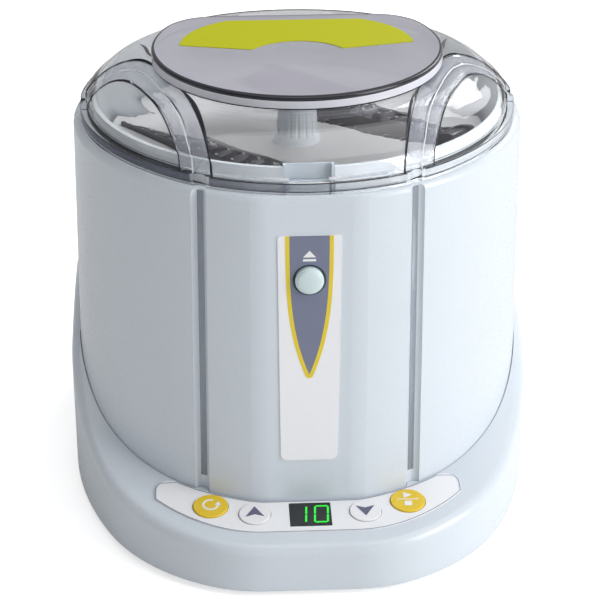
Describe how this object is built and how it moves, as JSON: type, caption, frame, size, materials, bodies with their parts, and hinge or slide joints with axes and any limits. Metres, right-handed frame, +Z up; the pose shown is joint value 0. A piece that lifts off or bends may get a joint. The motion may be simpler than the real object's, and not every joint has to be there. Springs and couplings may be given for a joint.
{
  "type": "microplate centrifuge",
  "caption": "Small bench centrifuge that spins two upright microplates in a bowl under a clear domed lid, with keys and a display on a sloping front.",
  "frame": {"origin": "middle of the footprint on the table", "axes": "+Z up, the control panel faces -Y, +X to the right in the front view"},
  "size_m": [0.212, 0.236, 0.2022],
  "materials": {
    "casing": "glossy moulded plastic",
    "chamber": "smooth moulded plastic",
    "latch_blue": "smooth moulded plastic",
    "clear_lid": "clear moulded plastic",
    "sticker": "printed film",
    "label_film": "printed film",
    "rotor_plastic": "moulded plastic",
    "microplate": "clear to milky moulded plastic",
    "knob": "moulded plastic",
    "steel": "machined steel",
    "aluminium": "machined",
    "windings": "laminations and copper windings",
    "rubber": "soft rubber",
    "button": "moulded plastic",
    "black_plastic": "moulded plastic",
    "display": "dark display window",
    "key_yellow": "printed key",
    "key_white": "printed key",
    "board": "circuit board",
    "components": "varnished parts",
    "brass": "contact pins"
  },
  "bodies": {
    "casing": {"base_housing": "casing", "bottom_plate": "casing", "rubber_feet": "rubber", "base_screws": "steel", "body_screws": "steel", "upper_body": "casing", "rotor_chamber": "chamber", "chamber_gasket": "rubber", "shaft_seal": "rubber", "front_label": "label_film", "hinge_bracket": "steel", "hinge_pin": "steel", "hinge_spring": "steel", "hinge_screws": "steel", "latch_cover": "latch_blue", "lid_switch": "black_plastic", "motor_housing": "steel", "motor_stator": "windings", "motor_bearings": "steel", "motor_plate": "aluminium", "vibration_mounts": "rubber", "mount_screws": "steel", "motor_screws": "steel", "panel_overlay": "label_film", "display_window": "display", "display_module": "black_plastic", "key_switches": "black_plastic", "control_board": "board", "board_screws": "steel", "power_inlet": "black_plastic", "inlet_pins": "brass", "switch_frame": "black_plastic", "power_board": "board", "power_components": "components", "power_board_screws": "steel"},
    "lid": {"lid_dome": "clear_lid", "lid_window": "clear_lid", "lid_label": "sticker", "lid_hinge": "steel", "lid_hook": "latch_blue"},
    "rotor": {"rotor_head": "rotor_plastic", "pocket_front": "rotor_plastic", "pocket_back": "rotor_plastic", "rotor_hub": "aluminium", "microplate_front": "microplate", "microplate_back": "microplate", "motor_shaft": "steel", "motor_armature": "windings"},
    "knob": {"rotor_knob": "knob", "knob_stud": "steel"},
    "latch": {"open_button": "button", "latch_slide": "black_plastic", "latch_spring": "steel"},
    "short_key": {"key_short": "key_yellow"},
    "up_key": {"key_up": "key_white"},
    "down_key": {"key_down": "key_white"},
    "start_stop_key": {"key_start_stop": "key_yellow"},
    "rocker": {"power_rocker": "black_plastic"}
  },
  "joints": [
    {"name": "lid_hinge", "type": "hinge", "parent": "casing", "child": "lid", "pos_m": [0, 0.11249, 0.169], "axis": [-1, 0, 0], "range_deg": [0, 78]},
    {"name": "rotor_spin", "type": "hinge", "parent": "casing", "child": "rotor", "pos_m": [0, 0.014, 0.1], "axis": [0, 0, 1], "continuous": true},
    {"name": "knob_turn", "type": "hinge", "parent": "rotor", "child": "knob", "pos_m": [0, 0.014, 0.165], "axis": [0, 0, 1], "range_deg": [-180, 180]},
    {"name": "button_press", "type": "slide", "parent": "casing", "child": "latch", "axis": [0, 1, 0], "range_m": [0, 0.0015], "stiffness_N_per_m": 600, "springref_m": -0.001},
    {"name": "key_short_press", "type": "slide", "parent": "casing", "child": "short_key", "axis": [0, 0.1219, -0.9925], "range_m": [0, 0.0006], "stiffness_N_per_m": 500, "springref_m": -0.0005},
    {"name": "key_up_press", "type": "slide", "parent": "casing", "child": "up_key", "axis": [0, 0.1219, -0.9925], "range_m": [0, 0.0006], "stiffness_N_per_m": 500, "springref_m": -0.0005},
    {"name": "key_down_press", "type": "slide", "parent": "casing", "child": "down_key", "axis": [0, 0.1219, -0.9925], "range_m": [0, 0.0006], "stiffness_N_per_m": 500, "springref_m": -0.0005},
    {"name": "key_start_stop_press", "type": "slide", "parent": "casing", "child": "start_stop_key", "axis": [0, 0.1219, -0.9925], "range_m": [0, 0.0006], "stiffness_N_per_m": 500, "springref_m": -0.0005},
    {"name": "power_rocker_tilt", "type": "hinge", "parent": "casing", "child": "rocker", "pos_m": [0.002, 0.11299, 0.032], "axis": [-1, 0, 0], "range_deg": [0, 18]}
  ]
}
